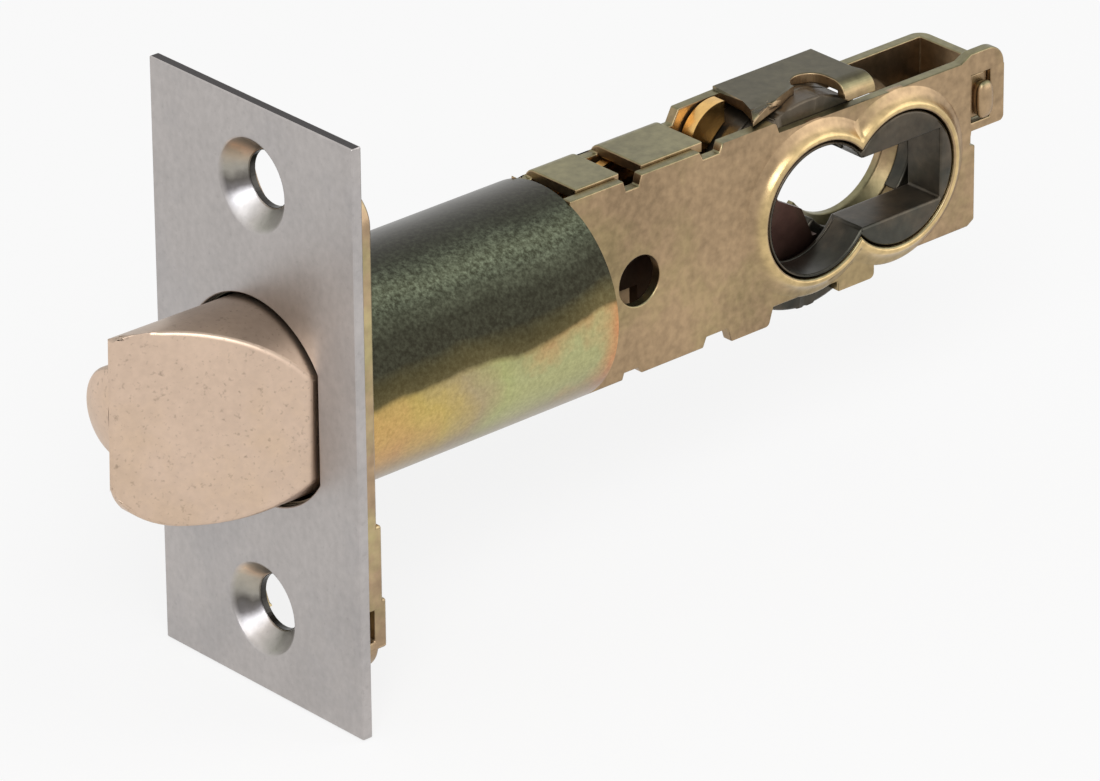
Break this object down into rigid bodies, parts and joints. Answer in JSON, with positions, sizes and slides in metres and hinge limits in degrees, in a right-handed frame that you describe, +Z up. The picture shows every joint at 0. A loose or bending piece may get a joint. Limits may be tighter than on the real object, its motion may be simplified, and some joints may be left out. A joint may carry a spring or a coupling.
{
  "type": "deadlatch",
  "caption": "Tubular spring latch with a bevelled bolt, a deadlocking plunger, a round barrel and a flat case with a figure-eight spindle opening.",
  "frame": {"origin": "centre of the faceplate's front face, on the bolt's axis", "axes": "+X from the faceplate along the barrel to the case, the bolt points to -X, -Y is the cover side, +Z is up"},
  "size_m": [0.0947, 0.0254, 0.0536],
  "materials": {
    "satin_face": "satin",
    "satin_bolt": "satin",
    "yellow_zinc": "iridescent",
    "khaki_zinc": "satin",
    "dark_casting": "matt",
    "brown_steel": "satin",
    "spring_steel": "bright",
    "lever_steel": "bright"
  },
  "bodies": {
    "case": {"faceplate": "satin_face", "backing_plate": "yellow_zinc", "barrel": "yellow_zinc", "spring_stop": "khaki_zinc", "spring_guide": "spring_steel", "case_cover": "khaki_zinc", "case_back": "khaki_zinc", "spindle_guide_near": "dark_casting", "spindle_guide_far": "dark_casting", "lever_stud": "spring_steel", "latch_spring": "spring_steel", "plunger_spring": "spring_steel", "lever_leaf": "lever_steel"},
    "bolt": {"latchbolt": "satin_bolt", "tail_pin_upper": "spring_steel", "tail_pin_lower": "spring_steel", "draw_fork": "brown_steel"},
    "plunger": {"deadlock_plunger": "satin_bolt", "bar_rivet": "spring_steel", "plunger_bar": "brown_steel"},
    "lever": {"deadlock_lever": "lever_steel"}
  },
  "joints": [
    {"name": "bolt_slide", "type": "slide", "parent": "case", "child": "bolt", "axis": [1, 0, 0], "range_m": [0, 0.0127], "stiffness_N_per_m": 350, "springref_m": -0.02, "deforming": ["latch_spring"]},
    {"name": "plunger_slide", "type": "slide", "parent": "case", "child": "plunger", "axis": [1, 0, 0], "range_m": [0, 0.012], "stiffness_N_per_m": 80, "springref_m": -0.02, "deforming": ["plunger_spring"]},
    {"name": "lever_pivot", "type": "hinge", "parent": "case", "child": "lever", "pos_m": [0.0485, 0.0018, 0.0059], "axis": [0, 1, 0], "range_deg": [-13, 0], "deforming": ["lever_leaf"]}
  ],
  "couplings": [
    {"joint": "lever_pivot", "follows": "plunger_slide", "rad_per_m": -18.9}
  ]
}
